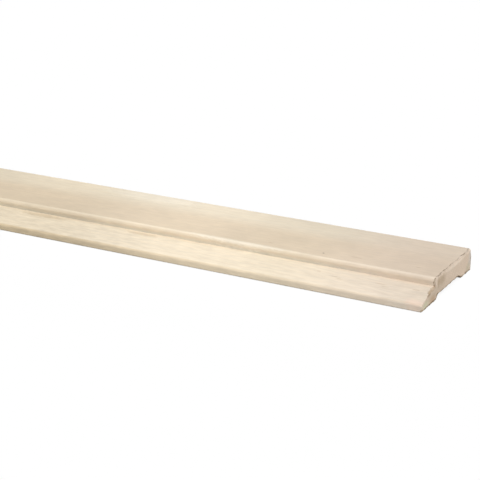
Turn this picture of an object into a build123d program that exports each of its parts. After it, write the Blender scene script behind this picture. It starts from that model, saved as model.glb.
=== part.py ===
from build123d import *
import os

# Architrave: one length of planed softwood moulding, lying on its back with the moulded face up.
# Frame, in millimetres: X runs along the stock, Y crosses it from the thin nose (-Y) to the
# thick back edge (+Y), and Z rises from the flat feet of the back. The origin is on that
# back, at the middle of the length and of the width.

# Stock, planed all round and cut square at both ends
LENGTH = 2100.0
WIDTH = 70.0
THICKNESS = 13.0

# Thick back edge, with its arrises eased by hand
BACK_ARRIS = 0.8
FOOT_ARRIS = 0.8

# Quarter-round bead that ends the flat field, with a short upright quirk below it
BEAD_RADIUS = 2.3
BEAD_SETBACK = 17.7
BEAD_QUIRK = 2.2

# Lip: a gently crowned slope that falls from the foot of the bead to the nose
LIP_CROWN = 0.6

# Rounded nose at the thin edge
NOSE_HEIGHT = 4.1
NOSE_RADIUS = 1.5

# Shallow channel ploughed along the back, so that the moulding sits on its two feet
RELIEF_DEPTH = 2.4
RELIEF_SLOPE = 2.4
RELIEF_ROUND = 1.5
FRONT_FOOT = 20.0
BACK_FOOT = 13.5

# Places on the section, in the plane of Y and Z
nose_y = -WIDTH / 2
back_y = WIDTH / 2
bead_y = nose_y + BEAD_SETBACK
bead_centre_z = THICKNESS - BEAD_RADIUS
quirk_z = bead_centre_z - BEAD_QUIRK
front_foot_y = nose_y + FRONT_FOOT
back_foot_y = back_y - BACK_FOOT


def section_outline():
    """Outline of the section: each line runs on from the end of the one before it."""
    with BuildLine(Plane.YZ) as outline:
        nose_foot = (nose_y, 0)
        nose_top = (nose_y, NOSE_HEIGHT)
        lip_top = (bead_y, quirk_z)
        Line(nose_foot, nose_top)
        SagittaArc(nose_top, lip_top, LIP_CROWN)
        Line(lip_top, (bead_y, bead_centre_z))
        RadiusArc((bead_y, bead_centre_z), (bead_y + BEAD_RADIUS, THICKNESS), BEAD_RADIUS)
        Polyline(
            (bead_y + BEAD_RADIUS, THICKNESS),
            (back_y, THICKNESS),
            (back_y, 0),
            (back_foot_y, 0),
            (back_foot_y - RELIEF_SLOPE, RELIEF_DEPTH),
            (front_foot_y + RELIEF_SLOPE, RELIEF_DEPTH),
            (front_foot_y, 0),
            nose_foot,
        )
    return outline.line


def corner(section, y, z):
    """Vertex of the section that lies at Y and Z."""
    return section.vertices().sort_by_distance((0, y, z))[0]


def section_face():
    """Section with its nose rounded, its arrises eased and the channel's corners rounded."""
    section = make_face(section_outline())
    section = fillet(corner(section, nose_y, NOSE_HEIGHT), NOSE_RADIUS)
    section = fillet(corner(section, nose_y, 0), FOOT_ARRIS)
    section = fillet(corner(section, back_y, 0), FOOT_ARRIS)
    section = fillet(corner(section, back_y, THICKNESS), BACK_ARRIS)
    section = fillet(corner(section, back_foot_y - RELIEF_SLOPE, RELIEF_DEPTH), RELIEF_ROUND)
    section = fillet(corner(section, front_foot_y + RELIEF_SLOPE, RELIEF_DEPTH), RELIEF_ROUND)
    return section


def architrave():
    """The section run along the whole length, half to each side of the origin."""
    return extrude(section_face(), LENGTH / 2, both=True)


os.makedirs("parts", exist_ok=True)
export_step(architrave(), "parts/architrave.step")
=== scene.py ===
import math

import bpy
import numpy as np
from mathutils import Matrix, Vector


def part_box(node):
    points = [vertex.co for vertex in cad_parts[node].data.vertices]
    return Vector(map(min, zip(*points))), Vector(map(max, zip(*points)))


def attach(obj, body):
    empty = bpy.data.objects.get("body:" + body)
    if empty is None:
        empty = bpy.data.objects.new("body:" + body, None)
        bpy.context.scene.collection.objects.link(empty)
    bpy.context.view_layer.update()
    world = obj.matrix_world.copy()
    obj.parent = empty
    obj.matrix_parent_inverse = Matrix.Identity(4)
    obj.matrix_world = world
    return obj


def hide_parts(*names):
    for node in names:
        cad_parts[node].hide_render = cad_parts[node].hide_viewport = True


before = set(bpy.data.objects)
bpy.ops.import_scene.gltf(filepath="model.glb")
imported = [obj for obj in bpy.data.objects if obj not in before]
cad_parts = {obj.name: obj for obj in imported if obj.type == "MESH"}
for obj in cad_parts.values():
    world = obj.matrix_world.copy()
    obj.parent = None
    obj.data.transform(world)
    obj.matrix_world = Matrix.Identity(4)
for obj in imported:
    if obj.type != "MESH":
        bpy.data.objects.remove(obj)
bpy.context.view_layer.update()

# Architrave: one length of planed softwood moulding on its back, moulded face up.
# +X runs along the stock to the end that faces the camera, +Y crosses it from the thin nose
# to the thick back edge, +Z rises from the feet. Everything is in metres.
MM = 0.001

# Box of the stock, from the frame
stock_low, stock_high = (np.array(corner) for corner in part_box("architrave"))
nose_y, back_y = stock_low[1], stock_high[1]
foot_z, field_z = stock_low[2], stock_high[2]
end_x = stock_high[0]

# Moulded section, as the solid has it
BEAD_RADIUS = 2.3 * MM
BEAD_SETBACK = 17.7 * MM
BEAD_QUIRK = 2.2 * MM
LIP_CROWN = 0.6 * MM
NOSE_HEIGHT = 4.1 * MM
NOSE_RADIUS = 1.5 * MM
BACK_ARRIS = 0.8 * MM
FOOT_ARRIS = 0.8 * MM
RELIEF_DEPTH = 2.4 * MM
RELIEF_SLOPE = 2.4 * MM
RELIEF_ROUND = 1.5 * MM
FRONT_FOOT = 20.0 * MM
BACK_FOOT = 13.5 * MM

# Mesh: points of each half of the outline, the longest step and the fewest steps of an arc,
# and how near to each other two points count as one. The stations along the stock start this
# far from an end, with gaps that grow to an even step. Edges that turn by more than the angle
# stay sharp.
HALF_POINTS = 240
ARC_STEP = 0.35 * MM
ARC_FEWEST = 6
SAME_POINT = 0.000001 * MM
STATION_FIRST = 5.0 * MM
STATION_GROWTH = 1.5
STATION_STEP = 20.0 * MM
SHARP_DEGREES = 32.0

# Sawn end: the blade's face lies this far inside the stock's length. Rings of points lie on
# the planed face at three depths that wander, on the arris, and on the blade's face at four
# offsets from the outline, no further than a share of the way to the middle line. The rest of
# the face has even rings up to that line, which starts this far behind the nose's front and
# is squeezed to end inside the back edge. Each end has a seed for its noises.
SAW_RECESS = 0.25 * MM
PLANED_DEPTHS = np.array([1.35, 0.8, 0.4]) * MM
PLANED_WANDER = 0.4 * MM
RIM_OFFSETS = np.array([0.5, 1.1, 1.9, 2.7]) * MM
RIM_REACH = 0.5
FACE_RINGS = 8
MIDDLE_START = 3.4 * MM
MIDDLE_SQUEEZE = 0.86
FAR_SEED = 11
NEAR_SEED = 23

# Torn fibres that stand out from the blade's face: how ragged they are, how high they stand on
# the underside, how much of their height is left at the first ring on that face, and how deep
# the crease in the planed face behind them is
BURR_SLOW_SHARE = 0.5
BURR_QUICK_SHARE = 0.55
BURR_UNDER = 0.3
BURR_FOOT = 0.4
CREASE_DEPTH = 0.18 * MM

# Saw marks: ripples round the blade's axle, which lies far below the stock, and slow noise
SAW_RADIUS = 150.0 * MM
SAW_AXLE_Y = nose_y - 0.3 * SAW_RADIUS
SAW_MARK_PITCH = 1.3 * MM
SAW_RIPPLE_DEPTH = 0.012 * MM
SAW_DRIFT_DEPTH = 0.024 * MM
SAW_DRIFT_SLANT = 0.7

# Wavelengths of the noises round the arris. The ragged one swings about 1, and the broken one
# about its mean.
BURR_SLOW_WAVES = np.array([9.0, 5.0, 3.1]) * MM
BURR_QUICK_WAVES = np.array([1.9, 1.1, 0.7]) * MM
RAGGED_WAVES = np.array([7.0, 3.3, 1.7, 0.9]) * MM
BROKEN_WAVES = np.array([9.0, 4.3, 2.1, 1.2]) * MM
BITE_WAVES = np.array([6.1, 2.7, 1.5, 0.8]) * MM
WANDER_WAVES = np.array([13.0, 5.0, 2.3]) * MM
SAW_DRIFT_WAVES = np.array([11.0, 6.0, 2.3]) * MM
RAGGED_SWING = 0.5
BROKEN_MEAN = 0.75
BROKEN_SWING = 1.6

# Chips broken from the lip's arris: where they are, how deep they go, and how dark (+) or torn (-)
# the wood is there. The dark there is crushed fibre and painted shade.
CHIP_Y = nose_y + np.array([0.0, 4.0, 5.5, 7.0, 9.6, 10.4, 12.0, 14.0, 17.7]) * MM
CHIP_DEPTH = np.array([0.0, 0.0, 0.1, 0.25, 0.4, 1.7, 1.7, 1.4, 0.9]) * MM
CHIP_CRUSH_AND_SHADE = np.array([-0.5, -0.5, -0.4, 0.5, 0.7, 0.85, 0.85, 0.8, 0.5])
CHIP_SWING = 0.8
CHIP_LIMITS = (0.6, 1.25)

# Wear of the lower arris and of two corners
UNDER_WEAR = 0.6 * MM
WEAR_LIMITS = (0.5, 1.5)
CORNER_WEAR = 1.0 * MM
CORNER_REACH = 2.2 * MM

# Rim of the sawn end, ring by ring from the planed face over the arris to the blade's face: 1 is
# pale torn fibre, -1 is dark crushed fibre with painted shade, as in the crease behind the torn
# fibres, on the chips of the lip and along the worn underside. Noise keeps each between its limits,
# where the least for the dark is on the lip, on the rest of the moulded side, and below.
FIELD_RIM = (0.0, -1.0, 0.2, 0.8, 1.0, 0.9, 0.3, 0.0)
LIP_RIM = (0.0, 0.0, 0.0, -0.8, -1.0, -0.9, -0.4, 0.0)
BACK_EDGE_RIM = (0.0, 0.0, 0.0, -0.5, -0.8, -0.2, 0.6, 0.0)
UNDER_RIM = (0.0, 0.0, 0.0, -0.8, -1.0, -1.2, -0.9, 0.0)
TORN_LIMITS = (0.3, 1.3)
CRUSHED_AND_SHADE_LEAST = (0.75, 0.35, 0.6)
CRUSHED_AND_SHADE_MOST = 1.1

# Knocks on that rim: distance from the nose's side, depth below the field and reach, all in
# millimetres, and how much they crush (-) or tear (+), with a weight for each ring
KNOCKS = [
    (17.7, 3.6, 1.4, -0.3),
    (18.5, 1.2, 1.6, -0.75),
    (26.5, 0.0, 5.0, -0.6),
    (51.5, 0.0, 4.0, 0.3),
    (58.5, 0.0, 3.2, -0.5),
]
KNOCK_WEIGHTS = np.array([0.0, 1.0, 1.0, 1.0, 0.9, 0.5, 0.1, 0.0])

# Pale tufts on the planed face behind the field's arris, where the noise is above its start
TUFT_SHARE = 0.7
TUFT_GAIN = 2.0
TUFT_START = 0.4

# Growth rings: the pith of the trunk lay outside the stock, below its back edge. Good and bad
# years follow each other over a span of rings. The stops give a place in the ring, from 0 to
# 1, and the share of latewood there.
PITH = (0.0, back_y + 60 * MM, foot_z - 75 * MM)
RING_WIDTH = 2.3 * MM
RING_WANDER = 3.5 * MM
RING_UNEVEN = 5.0 * MM
RING_SPAN = 4
RING_STOPS = [(0.45, 0.10), (0.88, 1.0), (0.99, 0.0)]
RING_SHARE = 0.10
END_RING_SHARE = 0.25

# Kinds of grain: length, width and levels of finer detail. Real fibres and the pores of the
# sawn end are a tenth as wide as here, too fine to show, so both are drawn coarser.
FIBRE_GRAIN = (110 * MM, 0.53 * MM, 2.0)
STREAK_GRAIN = (250 * MM, 2.6 * MM, 3.0)
DASH_GRAIN = (7.7 * MM, 1.18 * MM, 2.0)
MOTTLE_GRAIN = (11 * MM, 6.7 * MM, 3.0)
CLOUD_GRAIN = (83 * MM, 26 * MM, 3.0)
SWAY_GRAIN = (110 * MM, 17 * MM, 2.0)
REST_GRAIN = (330 * MM, 110 * MM, 1.0)
RING_GRAIN = (450 * MM, 71 * MM, 2.0)
SPOT_GRAIN = (2.5 * MM, 0.62 * MM, 2.0)
PORE_GRAIN = (3.3 * MM, 0.45 * MM, 3.0)
STAIN_GRAIN = (25 * MM, 5.5 * MM, 3.0)

# Planed wood: its colours, its gloss, and its relief, where the cutter waves wander by up to
# this angle in radians. Here and below, a pair of places or slopes is where a smooth step
# starts and ends.
FRONT_WOOD = "#EEE1CA"
BAND_WOOD = "#E3D2B9"
BACK_WOOD = "#ECE0CA"
LATEWOOD = "#D9C29C"
WOOD_IOR = 1.5
WOOD_SPECULAR = 0.35
WOOD_ROUGHNESS = 0.48
STREAK_ROUGHNESS = 0.18
FIBRE_HEIGHT = 0.006 * MM
CUTTER_PITCH = 2.6 * MM
CUTTER_HEIGHT = 0.0012 * MM
CUTTER_SWAY = 5.0

# Darker band under the field: it starts behind the bead and fades towards the back, less near
# the end
BAND_FRONT_Y = (nose_y + 17.5 * MM, nose_y + 21.5 * MM)
BAND_BACK_Y = (back_y - 27 * MM, back_y - 10 * MM)
BAND_SWAY = 5.0 * MM
BAND_END_X = (end_x - 20 * MM, end_x - 85 * MM)
BAND_END_SHARE = 0.35

# Painted highlight on the bead's crest and the nose's front, painted shade on the bead's steep face
PAINTED_HIGHLIGHT_WOOD = "#F6EAD4"
CREST_HIGHLIGHT_SHARE = 0.65
CREST_TURN = (0.03, 0.28)
CREST_LIMIT = (0.85, 0.45)
CREST_Z = (field_z - 2.6 * MM, field_z - 1.4 * MM)
# Painted shade on the bead's steep face: deepest towards the quirk, and weaker near the end
STEEP_SHADE_WOOD = "#CECDC1"
STEEP_SHADE_SHARE = 0.65
STEEP_TURN = (0.80, 0.99)
STEEP_Z = (field_z - 7.0 * MM, field_z - 5.0 * MM)
STEEP_TOP_Z = (field_z - 4.7 * MM, field_z - 2.0 * MM)
STEEP_TOP_SHARE = 0.1
STEEP_END_X = (end_x - 10 * MM, end_x - 60 * MM)
STEEP_END_SHARE = 0.05
# Painted highlight on the nose's front
NOSE_HIGHLIGHT_SHARE = 0.6
NOSE_TURN = (0.85, 0.99)
NOSE_Z = (NOSE_HEIGHT + 1.5 * MM, NOSE_HEIGHT + 0.3 * MM)

# Slow tone along the stock: two waves, each with its length and the place of a crest, the
# first slanted across the stock and fading into noise away from the near end, then clouds, the
# range of their sum, and how much darker than the palest place the darkest one is
DRIFT_LENGTH = 360 * MM
DRIFT_CREST_X = end_x - 150 * MM
DRIFT_SKEW = 1.1
DRIFT_FADE_X = (end_x - 700 * MM, end_x - 250 * MM)
SECOND_LENGTH = 970 * MM
SECOND_CREST_X = 0.0
SECOND_SHARE = 0.15
REST_DRIFT = 3.0
CLOUD_DRIFT = 0.4
DRIFT_RANGE = (-0.9, 0.95)
DRIFT_DEPTH = 0.17

# Fine tones: ripples along the field and the lip, each with its length, a crest and its
# depth, and the depths of the other kinds. The dashes on the lip are deeper far from the end.
FIELD_RIPPLE = (128 * MM, end_x - 162 * MM, 0.048)
LIP_RIPPLE = (135 * MM, end_x - 137 * MM, 0.03)
FIBRE_TONE = 0.07
STREAK_TONE = 0.05
MOTTLE_TONE = 0.18
LIP_END_TONE = 0.05
LIP_END_X = (end_x - 60 * MM, end_x - 10 * MM)
DASH_FIELD_TONE = 0.16
DASH_LIP_TONE = 0.32
DASH_FAR_TONE = 0.464
DASH_FAR_X = (end_x - 150 * MM, end_x - 210 * MM)

# Casts of colour along the stock, and those of the nose's front
FAR_TINT = "#FEFCF8"
MIDDLE_TINT = "#FCFBFA"
NEAR_TINT = "#FCFAFF"
MIDDLE_TINT_X = (end_x - 270 * MM, end_x - 190 * MM)
NEAR_TINT_X = (end_x - 100 * MM, end_x - 20 * MM)
NOSE_FAR_TINT = "#EFE8DB"
NOSE_NEAR_TINT = "#FAF7F2"
NOSE_TINT_X = (end_x - 250 * MM, end_x - 40 * MM)
NOSE_TINT_TURN = (0.30, 0.80)

# Marks on the planed faces. Each is a distance from the near end, one from the nose's side, a
# length and a width, all in millimetres. Each kind has its strength, its colour and the place
# where its ragged edges' noise starts.
# Dark resin flecks; the first two, long and on the lip beside the bead, are painted shade along the
# quirk
RESIN_FLECKS_AND_QUIRK_SHADE = [
    (252.0, 15.0, 38.0, 3.8),
    (181.0, 15.2, 26.0, 3.0),
    (102.4, 25.9, 3.6, 1.1),
    (64.9, 11.5, 3.0, 1.0),
    (54.5, 9.5, 7.0, 0.9),
    (51.0, 8.2, 5.0, 0.8),
    (49.8, 26.8, 7.5, 1.1),
    (27.9, 10.5, 7.5, 1.0),
    (25.0, 9.0, 5.0, 0.8),
    (14.3, 28.6, 3.6, 1.0),
    (8.2, 11.0, 5.0, 0.9),
]
BLUSHES = [
    (5.0, 1.2, 12.0, 5.0),
]
PALE_SPOTS = [
    (120.0, 19.3, 75.0, 3.4),
    (205.0, 64.0, 75.0, 16.0),
    (8.0, -1.0, 40.0, 3.0),
]
PIN_SPECKS = [
    (68.7, 24.6, 1.3, 1.1),
]
MARKS = [
    (RESIN_FLECKS_AND_QUIRK_SHADE, 0.32, "#B89B72", (0.3, 0.3, 0.1)),
    (BLUSHES, 0.4, "#FBDCC4", (0.2, 0.6, 0.4)),
    (PALE_SPOTS, 0.4, "#FFF8E8", (0.9, 0.4, 0.3)),
    (PIN_SPECKS, 0.75, "#5A4632", (0.7, 0.1, 0.5)),
]
SPOT_RAGGED = 1.2
SPOT_EDGE = (0.55, -0.1)

# Fibre on the rim, pale where torn and dark where crushed, the dark with painted shade, and how
# strongly it shows on the planed face and on the sawn one
TORN_FIBRE = "#EAD7C3"
TORN_FULL = 0.9
PLANED_TORN_SHARE = 0.6
# Dark crushed fibre, with painted shade
CRUSHED_FIBRE_AND_SHADE = "#8E7A60"
PLANED_CRUSHED_AND_SHADE_SHARE = 0.85
SAWN_CRUSHED_AND_SHADE_SHARE = 0.9

# Sawn end. Each patch has its distance from the nose's side, its height, half its width and
# half its height, all in millimetres, then its strength and its colour.
END_EARLYWOOD = "#D8C5B1"
END_LATEWOOD = "#C2AC90"
END_ROUGHNESS = 0.85
END_SPECULAR = 0.2
PORE_HEIGHT = 0.08 * MM
PORE_TONE = 0.24
STAIN_TONE = 0.16
END_PATCHES = [
    (27.0, 9.5, 6.0, 2.8, 0.45, "#96805F"),
    (22.5, 9.0, 1.2, 3.2, 0.45, "#96805F"),
    (68.8, 7.5, 2.2, 6.0, 0.75, "#BDB8B2"),
    (66.0, 2.5, 4.0, 3.0, 0.5, "#B3AC90"),
    (5.0, 2.6, 5.0, 2.4, 0.6, "#CBCEAE"),
    (15.0, 2.5, 5.0, 2.4, 0.5, "#B08A62"),
    (20.0, 5.0, 20.0, 3.5, 0.3, "#A39580"),
    (46.0, 11.6, 14.0, 1.3, 0.6, "#F0E3D2"),
]
PATCH_EDGE = (0.9, -0.3)

# Floor and light. The floor lies a little below the feet. The camera sees this share of pure
# white in it, and for all other light it is this grey. The lamps' spreads are in degrees.
WHITE = (1.0, 1.0, 1.0, 1.0)
FLOOR_REACH = 8.0
FLOOR_Z = foot_z - 0.2 * MM
FLOOR_WHITE = 0.85
FLOOR_BOUNCE = 0.4
SKY_LIGHT = 0.15
KEY_STRENGTH = 3.59
KEY_FROM = Vector((0.60, -0.48, 0.85))
KEY_SPREAD = 45.0
FILL_STRENGTH = 1.2
FILL_FROM = Vector((-0.70, 0.75, 0.04))
FILL_SPREAD = 8.0

# Camera, worked out from the photograph's converging edges. Its lens is as long as this many
# pixels of the frame, and its angles are in degrees.
LENS_PIXELS = 1403.6
FRAME_PIXELS = 480
SENSOR_WIDTH = 36.0
CAMERA_FROM_NEAR_FOOT = Vector((0.24790, -0.62582, 0.28039))
CAMERA_AZIMUTH = 29.58
CAMERA_ELEVATION = 19.76
CAMERA_ROLL = -0.5
CLIP_START = 0.05
CLIP_END = 50.0


def smooth_noise(places, wavelengths, seed):
    """Smooth noise between -1 and 1: the mean of cosines of these wavelengths, each with a
    random phase and weighed by the square root of its wavelength."""
    rng = np.random.default_rng(seed)
    total = np.zeros_like(places)
    weights = np.sqrt(wavelengths)
    for wavelength, weight in zip(wavelengths, weights):
        total += weight * np.cos(2 * np.pi * (places / wavelength + rng.random()))
    return total / weights.sum()


def arc(centre, radius, start, end):
    """Points on a circle about centre, from the start angle to the end angle in degrees."""
    count = max(ARC_FEWEST, math.ceil(abs(math.radians(end - start)) * radius / ARC_STEP))
    angle = np.radians(np.linspace(start, end, count + 1))
    return np.stack([centre[0] + radius * np.cos(angle), centre[1] + radius * np.sin(angle)], 1)


def circle_through(low, high, crown):
    """Centre and radius of the arc from low to high whose middle stands proud of its chord
    by crown: radius is (half chord squared + crown squared) / (2 crown)."""
    chord = high - low
    half = np.linalg.norm(chord) / 2
    radius = (half ** 2 + crown ** 2) / (2 * crown)
    outward = np.array([-chord[1], chord[0]]) / (2 * half)
    return (low + high) / 2 - outward * (radius - crown), radius


def moulded_half():
    """Corners and arcs of the moulded face, from the middle of the nose's front, over the nose,
    the crowned lip, the quirk, the bead and the field, to the middle of the back edge.
    The nose's arc touches the front, and touches the lip's circle from inside, so its centre
    is at the lip's radius less its own from the lip's centre."""
    bead_y = nose_y + BEAD_SETBACK
    bead_z = field_z - BEAD_RADIUS
    quirk_z = bead_z - BEAD_QUIRK
    lip_centre, lip_radius = circle_through(
        np.array([nose_y, NOSE_HEIGHT]), np.array([bead_y, quirk_z]), LIP_CROWN
    )
    reach_y = nose_y + NOSE_RADIUS - lip_centre[0]
    rise = math.sqrt((lip_radius - NOSE_RADIUS) ** 2 - reach_y ** 2)
    nose_centre = (nose_y + NOSE_RADIUS, lip_centre[1] + rise)
    touch = math.degrees(math.atan2(rise, reach_y))
    lip_end = math.degrees(math.atan2(quirk_z - lip_centre[1], bead_y - lip_centre[0]))
    return [
        np.array([[nose_y, nose_centre[1] / 2]]),
        arc(nose_centre, NOSE_RADIUS, 180, touch),
        arc(lip_centre, lip_radius, touch, lip_end),
        arc((bead_y + BEAD_RADIUS, bead_z), BEAD_RADIUS, 180, 90),
        arc((back_y - BACK_ARRIS, field_z - BACK_ARRIS), BACK_ARRIS, 90, 0),
        np.array([[back_y, field_z / 2]]),
    ]


def back_half():
    """Corners and arcs of the back, from the middle of the nose's front, down round the front
    foot, across the channel and the back foot, to the middle of the back edge. The channel's
    rounds turn from the slope of its sides to its flat ceiling."""
    slope_angle = math.degrees(math.atan2(RELIEF_DEPTH, RELIEF_SLOPE))
    tangent = RELIEF_ROUND * math.tan(math.radians(slope_angle / 2))
    front_corner = nose_y + FRONT_FOOT + RELIEF_SLOPE
    back_corner = back_y - BACK_FOOT - RELIEF_SLOPE
    round_z = foot_z + RELIEF_DEPTH - RELIEF_ROUND
    return [
        moulded_half()[0],
        arc((nose_y + FOOT_ARRIS, foot_z + FOOT_ARRIS), FOOT_ARRIS, 180, 270),
        np.array([[nose_y + FRONT_FOOT, foot_z]]),
        arc((front_corner + tangent, round_z), RELIEF_ROUND, 90 + slope_angle, 90),
        arc((back_corner - tangent, round_z), RELIEF_ROUND, 90, 90 - slope_angle),
        np.array([[back_y - BACK_FOOT, foot_z]]),
        arc((back_y - FOOT_ARRIS, foot_z + FOOT_ARRIS), FOOT_ARRIS, 270, 360),
        np.array([[back_y, field_z / 2]]),
    ]


def resampled(pieces, count):
    """The polyline through these pieces with count + 1 points: its own points stay, and the
    rest are shared out over its straight runs by their length."""
    line = np.concatenate(pieces)
    run = np.linalg.norm(np.diff(line, axis=0), axis=1)
    line = line[np.concatenate([[True], run > SAME_POINT])]
    run = run[run > SAME_POINT]
    spare = count - len(run)
    extra = np.floor(spare * run / run.sum()).astype(int)
    order = np.argsort(run / (extra + 1))[::-1]
    extra[order[:spare - extra.sum()]] += 1
    steps = [np.linspace(line[i], line[i + 1], extra[i] + 2)[:-1] for i in range(len(run))]
    return np.concatenate(steps + [line[-1:]])


def section_outline():
    """The closed outline: the moulded half, and the back half the other way round, without the
    two points that they share."""
    moulded = resampled(moulded_half(), HALF_POINTS)
    back = resampled(back_half(), HALF_POINTS)
    return np.concatenate([moulded, back[-2:0:-1]])


def stations():
    """Places along the stock: from each end gaps that grow by one ratio, up to the even
    stations of the middle."""
    near = [STATION_FIRST]
    gap = STATION_FIRST
    while gap < STATION_STEP:
        gap *= STATION_GROWTH
        near.append(near[-1] + gap)
    near = np.array(near)
    inner = end_x - near[-1]
    middle = np.linspace(-inner, inner, math.ceil(2 * inner / STATION_STEP) + 1)[1:-1]
    return np.concatenate([-end_x + near, middle, end_x - near[::-1]])


def burr(around, height, seed):
    """How far the torn fibres stand out, from 0 to 1, at each place round the outline: ragged
    noise of 0.7 to 9 mm times the height, over the largest."""
    slow = smooth_noise(around, BURR_SLOW_WAVES, seed)
    quick = smooth_noise(around, BURR_QUICK_WAVES, seed + 1)
    ragged = np.clip(0.5 + BURR_SLOW_SHARE * slow + BURR_QUICK_SHARE * quick, 0.0, 1.0)
    return ragged * height / (ragged * height).max()


def saw_marks(y, z, seed):
    """Depth of the blade's marks: ripples at even distances from the blade's axle, with slow
    noise along a slanted line across them."""
    ripple = np.cos(2 * np.pi * np.hypot(y - SAW_AXLE_Y, z + SAW_RADIUS) / SAW_MARK_PITCH)
    drift = smooth_noise(y + SAW_DRIFT_SLANT * z, SAW_DRIFT_WAVES, seed)
    return SAW_RIPPLE_DEPTH * ripple + SAW_DRIFT_DEPTH * drift


def falloff(outline, y, z, reach):
    """A share for each point that falls from 1 at (y, z): e to the power of minus the square
    of the distance over the reach."""
    away = np.hypot(outline[:, 0] - y, outline[:, 1] - z)
    return np.exp(-(away / reach) ** 2)


def arris_kinds(outline):
    """Masks of the outline's points: the moulded half, and the field's arris, the lip's and the
    back edge's. Those of none of the three are on the underside."""
    y = outline[:, 0]
    moulded = np.arange(len(outline)) <= len(outline) // 2
    lip = moulded & (y < nose_y + BEAD_SETBACK)
    back_edge = y > back_y - 0.5 * BACK_ARRIS
    field = moulded & ~lip & ~back_edge
    return moulded, field, lip, back_edge


def rim_values(outline, kinds, broken, ragged):
    """How torn, or how dark with crushed fibre and painted shade, the wood is at each ring and
    point: the value for its arris, on the lip times the chips' own, with the knocks added to the
    rest, each by its falloff. Dark values are multiplied by the broken noise, and torn ones by the
    ragged noise."""
    moulded, field, lip, back_edge = kinds
    rims = np.stack([
        np.select([field, lip, back_edge], tones, under)
        for *tones, under in zip(FIELD_RIM, LIP_RIM, BACK_EDGE_RIM, UNDER_RIM)
    ])
    rims[:, lip] *= np.interp(outline[lip, 0], CHIP_Y, CHIP_CRUSH_AND_SHADE)
    weights = KNOCK_WEIGHTS[:, None] * ~lip
    for from_nose, below, reach, tone in KNOCKS:
        spot = falloff(outline, nose_y + from_nose * MM, field_z - below * MM, reach * MM)
        rims += tone * spot * weights
    # Least and most of the dark: crushed fibre and painted shade
    on_lip, on_moulded, on_under = CRUSHED_AND_SHADE_LEAST
    dull = np.clip(broken, np.select([lip, moulded], [on_lip, on_moulded], on_under), CRUSHED_AND_SHADE_MOST)
    return np.where(rims < 0, rims * dull, rims * np.clip(ragged, *TORN_LIMITS))


def broken_back(outline, kinds, bite):
    """How far the arris is broken back from the blade: by chips on the lip, by wear on the
    underside, both times a noise within limits, and at least by the wear of two corners."""
    moulded, _, lip, back_edge = kinds
    chip = np.interp(outline[:, 0], CHIP_Y, CHIP_DEPTH) * lip
    chip = chip * np.clip(1 + CHIP_SWING * bite, *CHIP_LIMITS)
    wear = UNDER_WEAR * np.clip(1 + bite, *WEAR_LIMITS) * ~(moulded | back_edge)
    chip = np.maximum(chip, wear)
    for y, z in ((nose_y, foot_z), (back_y, field_z)):
        chip = np.maximum(chip, CORNER_WEAR * falloff(outline, y, z, CORNER_REACH))
    return chip


def sawn_end(outline, seed):
    """Rings of one sawn end, as (y, z, depth, rim) arrays, from the last of the planed face, over
    the arris and inwards on straight lines from the outline to the middle line of the section.
    Depth is 0 at the stock's full length. The crease behind the torn fibres sinks into the planed
    face, the fibres stand out past the blade's face, and chips and wear take the arris back. Rim
    says how torn, or how dark with crushed fibre and painted shade, the wood is, as in the lists of
    rims above."""
    count = len(outline)
    partner = -np.arange(count) % count
    middle = (outline + outline[partner]) / 2
    middle[:, 0] = nose_y + MIDDLE_START + (middle[:, 0] - nose_y) * MIDDLE_SQUEEZE
    inward = middle - outline
    length = np.linalg.norm(inward, axis=1)
    around = np.concatenate([[0], np.cumsum(np.linalg.norm(np.diff(outline, axis=0), axis=1))])

    kinds = arris_kinds(outline)
    moulded, field, _, _ = kinds
    ragged = 1 + RAGGED_SWING * smooth_noise(around, RAGGED_WAVES, seed + 3)
    broken = BROKEN_MEAN + BROKEN_SWING * smooth_noise(around, BROKEN_WAVES, seed + 4)
    bite = smooth_noise(around, BITE_WAVES, seed + 6)
    wander = PLANED_WANDER * smooth_noise(around, WANDER_WAVES, seed + 7)
    rims = rim_values(outline, kinds, broken, ragged)
    rims[0] += TUFT_SHARE * np.clip(TUFT_GAIN * bite - TUFT_START, 0, 1) * field
    chip = broken_back(outline, kinds, bite)
    arris = chip + SAW_RECESS * (1 - burr(around, np.where(moulded, 1.0, BURR_UNDER), seed))
    crease = CREASE_DEPTH * np.clip(broken, 0, 1) * field

    rings = []

    def add_ring(share, depth, rim):
        """Adds the ring this share of the way from the outline to the middle line."""
        place = outline + inward * share[:, None]
        rings.append((place[:, 0], place[:, 1], depth, rim))

    for depth, rim in zip(PLANED_DEPTHS, rims):
        add_ring(np.where(rim < 0, crease, 0.0) / length, depth + wander + chip, rim)
    add_ring(np.zeros(count), arris, rims[len(PLANED_DEPTHS)])
    blade = np.full(count, SAW_RECESS)
    depths = [BURR_FOOT * arris + (1 - BURR_FOOT) * blade, blade, blade, blade]
    for offset, depth, rim in zip(RIM_OFFSETS, depths, rims[len(PLANED_DEPTHS) + 1:]):
        reached = np.minimum(offset * ragged / length, RIM_REACH)
        add_ring(reached, depth, rim)
    for step in range(1, FACE_RINGS + 1):
        share = reached + (1 - reached) * step / FACE_RINGS
        place = outline + inward * share[:, None]
        marks = saw_marks(place[:, 0], place[:, 1], seed + 5)
        add_ring(share, blade + marks, np.zeros(count))
    return rings


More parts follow.
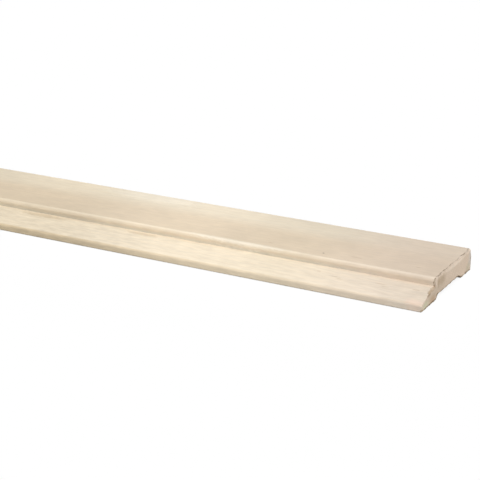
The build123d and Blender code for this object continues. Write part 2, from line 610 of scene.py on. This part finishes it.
def architrave_mesh():
    """Surface of the stock: the closed outline carried along straight stations, then closed at
    each end by the rings of its sawn face, whose last ring folds onto the middle line, so that
    the two halves share its points. Gives points, faces, which faces are sawn, and rims."""
    outline = section_outline()
    count = len(outline)
    plain = np.zeros(count)
    rows = []
    rims = []
    for y, z, depth, rim in sawn_end(outline, FAR_SEED)[::-1]:
        rows.append(np.stack([-end_x + depth, y, z], 1))
        rims.append(rim)
    face_rows = len(rows)
    for x in stations():
        rows.append(np.stack([np.full(count, x), outline[:, 0], outline[:, 1]], 1))
        rims.append(plain)
    for y, z, depth, rim in sawn_end(outline, NEAR_SEED):
        rows.append(np.stack([end_x - depth, y, z], 1))
        rims.append(rim)
    grid = np.arange(len(rows) * count).reshape(len(rows), count)
    fold = np.minimum(np.arange(count), -np.arange(count) % count)
    grid[0] = grid[0][fold]
    grid[-1] = grid[-1][fold]
    this, following = grid[:-1], grid[1:]
    quads = np.stack([this, following, np.roll(following, -1, 1), np.roll(this, -1, 1)], 2)
    row_of_face = np.repeat(np.arange(len(rows) - 1), count)
    sawn_rows = face_rows - len(PLANED_DEPTHS) - 1
    sawn = (row_of_face < sawn_rows) | (row_of_face >= len(rows) - 1 - sawn_rows)
    return np.concatenate(rows), quads.reshape(-1, 4), sawn.astype(np.int32), np.concatenate(rims)


def make_piece(name, points, faces, material_of_face, materials, rim):
    """A mesh object at the origin from arrays of points and faces, without unused points. Its
    points carry the rim values that both materials read."""
    used, renumbered = np.unique(faces, return_inverse=True)
    mesh = bpy.data.meshes.new(name)
    mesh.from_pydata(points[used], [], renumbered.reshape(faces.shape).tolist())
    mesh.polygons.foreach_set("material_index", material_of_face)
    mesh.polygons.foreach_set("use_smooth", np.ones(len(faces), bool))
    mesh.attributes.new("rim", "FLOAT", "POINT").data.foreach_set("value", rim[used])
    for material in materials:
        mesh.materials.append(material)
    mesh.set_sharp_from_angle(angle=math.radians(SHARP_DEGREES))
    mesh.validate()
    piece = bpy.data.objects.new(name, mesh)
    bpy.context.scene.collection.objects.link(piece)
    return piece


def linear(hex_colour):
    """sRGB hex to linear red, green, blue and alpha."""
    parts = np.array([int(hex_colour[i:i + 2], 16) for i in (1, 3, 5)]) / 255
    low = parts / 12.92
    high = ((parts + 0.055) / 1.055) ** 2.4
    return (*np.where(parts <= 0.04045, low, high).tolist(), 1.0)


def add_node(tree, kind, *values, **settings):
    """Adds a shader node of this kind with its settings, gives its open inputs these values or
    links in their order, None leaving one as it is, and returns its first open output."""
    node = tree.nodes.new("ShaderNode" + kind)
    for name, setting in settings.items():
        setattr(node, name, setting)
    inputs = [socket for socket in node.inputs if not socket.is_unavailable]
    for socket, value in zip(inputs, values):
        if isinstance(value, bpy.types.NodeSocket):
            tree.links.new(value, socket)
        elif value is not None:
            socket.default_value = value
    return next((socket for socket in node.outputs if not socket.is_unavailable), None)


def new_material(name):
    """An empty node material and its tree."""
    material = bpy.data.materials.new(name)
    material.use_nodes = True
    material.node_tree.nodes.clear()
    return material, material.node_tree


def stretched_noise(tree, place, grain, start):
    """Noise whose grains have this length along the stock, this width across it and this much
    finer detail. Start moves the pattern, so that no two are alike."""
    length, width, detail = grain
    spread = add_node(tree, "Mapping", place, start, None, (1 / length, 1 / width, 1 / width))
    return add_node(tree, "TexNoise", spread, 1.0, detail)


def with_grain(tree, tone, noise, depth):
    """The tone with this depth of noise about it: tone plus depth times noise less a half."""
    lowest = add_node(tree, "Math", tone, depth / 2, operation="SUBTRACT")
    return add_node(tree, "Math", noise, depth, lowest, operation="MULTIPLY_ADD")


def soft_steps(tree, *steps):
    """Product of smooth steps. Each gives its value, where on it the step starts and ends, and
    what the step runs from and to, if that isn't 0 and 1."""
    product = None
    for values in steps:
        step = add_node(tree, "MapRange", *values, interpolation_type="SMOOTHSTEP")
        if product is None:
            product = step
        else:
            product = add_node(tree, "Math", product, step, operation="MULTIPLY")
    return product


def wave(tree, place, length, crest):
    """Even wave from -1 to 1: the cosine of the place along it, with crests this length apart
    and one of them at crest."""
    turns = 2 * math.pi / length
    angle = add_node(tree, "Math", place, turns, -turns * crest, operation="MULTIPLY_ADD")
    return add_node(tree, "Math", angle, operation="COSINE")


def distance_from(tree, place, middle, stretch):
    """Length of the way from the middle to the place, each side of it times its stretch."""
    way = add_node(tree, "VectorMath", place, middle, operation="SUBTRACT")
    way = add_node(tree, "VectorMath", way, stretch, operation="MULTIPLY")
    return add_node(tree, "VectorMath", way, operation="LENGTH")


def stained(tree, wood, share, strength, colour):
    """The wood with this much of the colour in it: the share times the strength."""
    amount = add_node(tree, "Math", share, strength, operation="MULTIPLY")
    return add_node(tree, "Mix", amount, wood, linear(colour), data_type="RGBA")


def growth_rings(tree, place):
    """Latewood share, 0 to 1: the distance from the pith, with the slow wander of a trunk and
    years of unlike growth, divided by the ring width. It climbs over each ring and drops where
    the next one starts."""
    wander = stretched_noise(tree, place, RING_GRAIN, (3.1, 0.7, 0.2))
    radius = distance_from(tree, place, PITH, (0.0, 1.0, 1.0))
    years = add_node(tree, "TexNoise", radius, 1 / (RING_SPAN * RING_WIDTH), 2.0,
                     noise_dimensions="1D")
    bent = add_node(tree, "Math", wander, RING_WANDER, radius, operation="MULTIPLY_ADD")
    bent = add_node(tree, "Math", years, RING_UNEVEN, bent, operation="MULTIPLY_ADD")
    turns = add_node(tree, "Math", bent, 1 / RING_WIDTH, operation="MULTIPLY")
    within = add_node(tree, "Math", turns, operation="FRACT")
    latewood = add_node(tree, "ValToRGB", within)
    stops = latewood.node.color_ramp.elements
    stops.remove(stops[1])
    for position, share in RING_STOPS:
        stops.new(position).color = (share, share, share, 1.0)
    return latewood


def soft_spots(tree, place, spots, start):
    """Share of marks at each place: the largest of soft ovals with ragged edges at these
    spots. Each is a smooth step of the distance from its middle, in half its length and half
    its width, less the ragged noise."""
    ragged = stretched_noise(tree, place, SPOT_GRAIN, start)
    total = None
    for from_end, from_nose, length, width in spots:
        middle = (end_x - from_end * MM, nose_y + from_nose * MM, 0.0)
        reach = distance_from(tree, place, middle, (2 / (length * MM), 2 / (width * MM), 0.0))
        edge = add_node(tree, "Math", ragged, -SPOT_RAGGED, reach, operation="MULTIPLY_ADD")
        spot = soft_steps(tree, (edge, *SPOT_EDGE))
        if total is None:
            total = spot
        else:
            total = add_node(tree, "Math", total, spot, operation="MAXIMUM")
    return total


def torn_rim(tree, wood, torn_share, crushed_and_shade_share):
    """The wood with pale torn fibre where the mesh's rim value is above 0, and dark crushed fibre
    with painted shade where it is below."""
    rim = add_node(tree, "Attribute", attribute_name="rim").node.outputs["Fac"]
    torn = soft_steps(tree, (rim, 0.0, TORN_FULL))
    crushed = soft_steps(tree, (rim, 0.0, -1.0))
    wood = stained(tree, wood, torn, torn_share, TORN_FIBRE)
    return stained(tree, wood, crushed, crushed_and_shade_share, CRUSHED_FIBRE_AND_SHADE)


def banded_wood(tree, along, field, swayed):
    """Pale wood in front, darker wood on the field, and pale wood again at the back, where
    there is less of it near the end."""
    back = soft_steps(tree, (swayed, *BAND_BACK_Y), (along, *BAND_END_X, BAND_END_SHARE, 1.0))
    wood = stained(tree, linear(FRONT_WOOD), field, 1.0, BAND_WOOD)
    return stained(tree, wood, back, 1.0, BACK_WOOD)


def painted_face_light(tree, wood, along, up, toward):
    """The wood with painted light by the way each face turns: a painted highlight on the crest of
    the bead and on the nose's front, and painted shade on the bead's steep face. Toward is how far
    a face turns to the nose's side."""
    crest = soft_steps(tree, (toward, *CREST_TURN), (toward, *CREST_LIMIT), (up, *CREST_Z))
    steep = soft_steps(
        tree,
        (toward, *STEEP_TURN),
        (up, *STEEP_Z),
        (up, *STEEP_TOP_Z, 1.0, STEEP_TOP_SHARE),
        (along, *STEEP_END_X, STEEP_END_SHARE, 1.0),
    )
    nose = soft_steps(tree, (up, *NOSE_Z), (toward, *NOSE_TURN))
    # Painted highlight on the crest, painted shade on the steep face, painted highlight on the
    # nose's front
    wood = stained(tree, wood, crest, CREST_HIGHLIGHT_SHARE, PAINTED_HIGHLIGHT_WOOD)
    wood = stained(tree, wood, steep, STEEP_SHADE_SHARE, STEEP_SHADE_WOOD)
    return stained(tree, wood, nose, NOSE_HIGHLIGHT_SHARE, PAINTED_HIGHLIGHT_WOOD)


def slow_tone(tree, place, along, across, fade):
    """Tone that changes slowly along the stock: a slanted wave times the fade, a longer wave,
    soft noise times 1 less the fade, and clouds, all added up and turned to a tone by a smooth
    step."""
    slanted = add_node(tree, "Math", across, DRIFT_SKEW, along, operation="MULTIPLY_ADD")
    first = wave(tree, slanted, DRIFT_LENGTH, DRIFT_CREST_X)
    first = add_node(tree, "Math", first, fade, operation="MULTIPLY")
    second = wave(tree, along, SECOND_LENGTH, SECOND_CREST_X)
    drift = add_node(tree, "Math", second, SECOND_SHARE, first, operation="MULTIPLY_ADD")
    rest = stretched_noise(tree, place, REST_GRAIN, (0.5, 0.3, 0.2))
    rest = add_node(tree, "Math", rest, 0.5, operation="SUBTRACT")
    away = add_node(tree, "Math", 1.0, fade, operation="SUBTRACT")
    rest = add_node(tree, "Math", rest, away, operation="MULTIPLY")
    drift = add_node(tree, "Math", rest, REST_DRIFT, drift, operation="MULTIPLY_ADD")
    cloud = stretched_noise(tree, place, CLOUD_GRAIN, (0.4, 0.9, 0.6))
    drift = with_grain(tree, drift, cloud, CLOUD_DRIFT)
    return soft_steps(tree, (drift, *DRIFT_RANGE, 1 - DRIFT_DEPTH, 1.0))


def fine_tones(tree, place, along, field, fade):
    """Factors of the tone that change within centimetres or less: 1 plus a ripple on the field
    and another on the lip, mottle, 1 less a share at the lip's near end, and short dashes,
    deeper on the lip than on the field and deepest on its far part."""
    lip = add_node(tree, "Math", 1.0, field, operation="SUBTRACT")
    factors = []
    for part, (length, crest, depth) in ((field, FIELD_RIPPLE), (lip, LIP_RIPPLE)):
        ripple = wave(tree, along, length, crest)
        ripple = add_node(tree, "Math", ripple, part, operation="MULTIPLY")
        ripple = add_node(tree, "Math", ripple, fade, operation="MULTIPLY")
        factors.append(add_node(tree, "Math", ripple, depth, 1.0, operation="MULTIPLY_ADD"))
    mottle = stretched_noise(tree, place, MOTTLE_GRAIN, (0.6, 0.1, 0.7))
    factors.append(with_grain(tree, 1.0, mottle, MOTTLE_TONE))
    lip_end = soft_steps(tree, (along, *LIP_END_X))
    lip_end = add_node(tree, "Math", lip, lip_end, operation="MULTIPLY")
    factors.append(add_node(tree, "Math", lip_end, -LIP_END_TONE, 1.0, operation="MULTIPLY_ADD"))
    dash = stretched_noise(tree, place, DASH_GRAIN, (0.8, 0.2, 0.9))
    dash = add_node(tree, "Math", dash, 0.5, operation="SUBTRACT")
    depth = soft_steps(tree, (along, *DASH_FAR_X, DASH_LIP_TONE, DASH_FAR_TONE))
    depth = add_node(tree, "Mix", field, depth, DASH_FIELD_TONE, data_type="FLOAT")
    factors.append(add_node(tree, "Math", dash, depth, 1.0, operation="MULTIPLY_ADD"))
    return factors


def cast_of_colour(tree, along, up, toward):
    """Faint cast of the wood: three tints along the stock, times the nose's own on its front."""
    middle = soft_steps(tree, (along, *MIDDLE_TINT_X))
    near = soft_steps(tree, (along, *NEAR_TINT_X))
    tint = stained(tree, linear(FAR_TINT), middle, 1.0, MIDDLE_TINT)
    tint = stained(tree, tint, near, 1.0, NEAR_TINT)
    nose_near = soft_steps(tree, (along, *NOSE_TINT_X))
    nose_tint = stained(tree, linear(NOSE_FAR_TINT), nose_near, 1.0, NOSE_NEAR_TINT)
    front = soft_steps(tree, (toward, *NOSE_TINT_TURN), (up, *NOSE_Z))
    nose_tint = add_node(tree, "Mix", front, WHITE, nose_tint, data_type="RGBA")
    return add_node(tree, "VectorMath", tint, nose_tint, operation="MULTIPLY")


def planed_relief(tree, along, sway, fibre):
    """Cutter waves across the stock, as a sine along it that wanders, and the fibres' furrows."""
    wander = add_node(tree, "Math", sway, CUTTER_SWAY, operation="MULTIPLY")
    turns = 2 * math.pi / CUTTER_PITCH
    angle = add_node(tree, "Math", along, turns, wander, operation="MULTIPLY_ADD")
    waves = add_node(tree, "Math", angle, operation="SINE")
    furrows = add_node(tree, "Math", fibre, FIBRE_HEIGHT, operation="MULTIPLY")
    height = add_node(tree, "Math", waves, CUTTER_HEIGHT, furrows, operation="MULTIPLY_ADD")
    return add_node(tree, "Bump", 1.0, 1.0, None, height)


def planed_softwood():
    """Bare pale softwood, planed by rotating cutters. To the eye it is near matt, with straight
    fine grain, faint growth lines, a darker band under the middle of the field, a few resin flecks
    and painted shade along the quirk, a painted highlight on the bead's crest and the nose's front,
    painted shade on the bead's steep face, and tones and casts that change along it."""
    material, tree = new_material("planed_softwood")
    place = add_node(tree, "TexCoord").node.outputs["Object"]
    along, across, up = add_node(tree, "SeparateXYZ", place).node.outputs
    normal = add_node(tree, "NewGeometry").node.outputs["True Normal"]
    away = add_node(tree, "SeparateXYZ", normal).node.outputs["Y"]
    toward = add_node(tree, "Math", away, -1.0, operation="MULTIPLY")
    fade = soft_steps(tree, (along, *DRIFT_FADE_X))

    sway = stretched_noise(tree, place, SWAY_GRAIN, (0.2, 0.4, 0.8))
    swayed = add_node(tree, "Math", sway, BAND_SWAY, across, operation="MULTIPLY_ADD")
    field = soft_steps(tree, (swayed, *BAND_FRONT_Y))
    wood = banded_wood(tree, along, field, swayed)
    # Painted highlight and painted shade by the way each face turns
    wood = painted_face_light(tree, wood, along, up, toward)
    wood = stained(tree, wood, growth_rings(tree, place), RING_SHARE, LATEWOOD)
    # Pale torn fibre, and dark crushed fibre with painted shade, on the rim
    wood = torn_rim(tree, wood, PLANED_TORN_SHARE, PLANED_CRUSHED_AND_SHADE_SHARE)
    for spots, strength, colour, start in MARKS:
        wood = stained(tree, wood, soft_spots(tree, place, spots, start), strength, colour)

    fibre = stretched_noise(tree, place, FIBRE_GRAIN, (0.0, 0.0, 0.0))
    streak = stretched_noise(tree, place, STREAK_GRAIN, (1.3, 0.5, 0.1))
    tone = with_grain(tree, 1.0, fibre, FIBRE_TONE)
    tone = with_grain(tree, tone, streak, STREAK_TONE)
    slow = slow_tone(tree, place, along, across, fade)
    for factor in (slow, *fine_tones(tree, place, along, field, fade)):
        tone = add_node(tree, "Math", tone, factor, operation="MULTIPLY")
    cast = cast_of_colour(tree, along, up, toward)
    wood = add_node(tree, "VectorMath", wood, cast, operation="MULTIPLY")
    wood = add_node(tree, "VectorMath", wood, tone, operation="SCALE")

    # Fibres polished by the cutters shine a little more than the open streaks between them
    roughness = add_node(tree, "Math", streak, STREAK_ROUGHNESS, WOOD_ROUGHNESS,
                         operation="MULTIPLY_ADD")
    surface = add_node(tree, "BsdfPrincipled")
    shader = surface.node
    tree.links.new(wood, shader.inputs["Base Color"])
    tree.links.new(roughness, shader.inputs["Roughness"])
    tree.links.new(planed_relief(tree, along, sway, fibre), shader.inputs["Normal"])
    shader.inputs["IOR"].default_value = WOOD_IOR
    shader.inputs["Specular IOR Level"].default_value = WOOD_SPECULAR
    add_node(tree, "OutputMaterial", surface)
    return material


def sawn_end_grain():
    """Softwood cut across by a circular saw. Its open fibre ends swallow light, so to the eye it is
    darker and duller than the planed face, with growth arcs, pores, and at the near end scorched,
    yellower, greyer and paler patches. Its rim shows pale torn fibre, and dark crushed fibre with
    painted shade."""
    material, tree = new_material("sawn_end_grain")
    place = add_node(tree, "TexCoord").node.outputs["Object"]
    along = add_node(tree, "SeparateXYZ", place)
    near_end = add_node(tree, "Math", along, 0.0, operation="GREATER_THAN")
    pores = stretched_noise(tree, place, PORE_GRAIN, (0.2, 0.0, 0.4))
    cloud = stretched_noise(tree, place, STAIN_GRAIN, (0.1, 0.6, 0.3))
    rings = growth_rings(tree, place)
    wood = stained(tree, linear(END_EARLYWOOD), rings, END_RING_SHARE, END_LATEWOOD)
    for from_nose, height, half_width, half_height, strength, colour in END_PATCHES:
        middle = (0.0, nose_y + from_nose * MM, height * MM)
        stretch = (0.0, 1 / (half_width * MM), 1 / (half_height * MM))
        reach = distance_from(tree, place, middle, stretch)
        edge = add_node(tree, "Math", reach, cloud, operation="SUBTRACT")
        patch = soft_steps(tree, (edge, *PATCH_EDGE))
        patch = add_node(tree, "Math", patch, near_end, operation="MULTIPLY")
        wood = stained(tree, wood, patch, strength, colour)
    # Pale torn fibre, and dark crushed fibre with painted shade, on the rim
    wood = torn_rim(tree, wood, 1.0, SAWN_CRUSHED_AND_SHADE_SHARE)
    tone = with_grain(tree, 1.0, pores, PORE_TONE)
    tone = with_grain(tree, tone, cloud, STAIN_TONE)
    wood = add_node(tree, "VectorMath", wood, tone, operation="SCALE")
    surface = add_node(tree, "BsdfPrincipled")
    shader = surface.node
    tree.links.new(wood, shader.inputs["Base Color"])
    tree.links.new(add_node(tree, "Bump", 1.0, PORE_HEIGHT, None, pores), shader.inputs["Normal"])
    shader.inputs["Roughness"].default_value = END_ROUGHNESS
    shader.inputs["Specular IOR Level"].default_value = END_SPECULAR
    add_node(tree, "OutputMaterial", surface)
    return material


def white_floor():
    """A plain white floor. The camera sees it mostly as pure white, and the rest is lit by the
    lamps, so that the stock's soft shadow stays."""
    material, tree = new_material("white_floor")
    seen = add_node(tree, "LightPath").node.outputs["Is Camera Ray"]
    bounce = (FLOOR_BOUNCE, FLOOR_BOUNCE, FLOOR_BOUNCE, 1.0)
    colour = add_node(tree, "Mix", seen, bounce, WHITE, data_type="RGBA")
    lit = add_node(tree, "BsdfDiffuse", colour)
    glow = add_node(tree, "Emission", WHITE, 1.0)
    share = add_node(tree, "Math", seen, FLOOR_WHITE, operation="MULTIPLY")
    add_node(tree, "OutputMaterial", add_node(tree, "MixShader", share, lit, glow))
    mesh = bpy.data.meshes.new("floor")
    sides = ((-1, -1), (1, -1), (1, 1), (-1, 1))
    corners = [(x * FLOOR_REACH, y * FLOOR_REACH, FLOOR_Z) for x, y in sides]
    mesh.from_pydata(corners, [], [(0, 1, 2, 3)])
    mesh.materials.append(material)
    floor = bpy.data.objects.new("floor", mesh)
    bpy.context.scene.collection.objects.link(floor)


def soft_sky():
    """An even white surround, pure white to the camera and to what mirrors or passes it."""
    world = bpy.data.worlds.new("surround")
    bpy.context.scene.world = world
    world.use_nodes = True
    tree = world.node_tree
    tree.nodes.clear()
    rays = add_node(tree, "LightPath").node.outputs
    seen = add_node(tree, "Math", rays["Is Camera Ray"], rays["Is Glossy Ray"], operation="MAXIMUM")
    seen = add_node(tree, "Math", seen, rays["Is Transmission Ray"], operation="MAXIMUM")
    light = add_node(tree, "Background", WHITE, SKY_LIGHT)
    white = add_node(tree, "Background", WHITE, 1.0)
    add_node(tree, "OutputWorld", add_node(tree, "MixShader", seen, light, white))


def soft_lamp(name, strength, source, spread, glint):
    """A broad distant lamp that shines from the source's side towards the origin, with or
    without a glint on the polished fibres."""
    lamp = bpy.data.lights.new(name, "SUN")
    lamp.energy = strength
    lamp.angle = math.radians(spread)
    holder = bpy.data.objects.new(name, lamp)
    holder.rotation_euler = source.to_track_quat("Z", "Y").to_euler()
    holder.location = source
    holder.visible_glossy = glint
    bpy.context.scene.collection.objects.link(holder)


def photo_camera():
    """The photograph's view of the near end: a long lens with no shift, rolled a little. Back
    points from the scene to the camera, right lies level, and up is square to both, before
    the roll turns the last two."""
    camera = bpy.data.cameras.new("camera")
    camera.sensor_width = SENSOR_WIDTH
    camera.lens = LENS_PIXELS / FRAME_PIXELS * SENSOR_WIDTH
    camera.clip_start = CLIP_START
    camera.clip_end = CLIP_END
    azimuth, elevation = math.radians(CAMERA_AZIMUTH), math.radians(CAMERA_ELEVATION)
    back = Vector((math.sin(azimuth) * math.cos(elevation),
                   -math.cos(azimuth) * math.cos(elevation), math.sin(elevation)))
    right = Vector((math.cos(azimuth), math.sin(azimuth), 0))
    up = back.cross(right)
    roll = math.radians(CAMERA_ROLL)
    right, up = (right * math.cos(roll) + up * math.sin(roll),
                 up * math.cos(roll) - right * math.sin(roll))
    turn = Matrix((right, up, back)).transposed().to_4x4()
    place = Vector((end_x, nose_y, foot_z)) + CAMERA_FROM_NEAR_FOOT
    holder = bpy.data.objects.new("camera", camera)
    holder.matrix_world = Matrix.Translation(place) @ turn
    bpy.context.scene.collection.objects.link(holder)
    bpy.context.scene.camera = holder


points, faces, sawn, rim = architrave_mesh()
moulding = make_piece("moulding", points, faces, sawn, [planed_softwood(), sawn_end_grain()], rim)
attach(moulding, "root")
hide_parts("architrave")

white_floor()
soft_sky()
soft_lamp("key", KEY_STRENGTH, KEY_FROM, KEY_SPREAD, True)
soft_lamp("fill", FILL_STRENGTH, FILL_FROM, FILL_SPREAD, False)
photo_camera()
bpy.context.scene.view_settings.view_transform = "Standard"
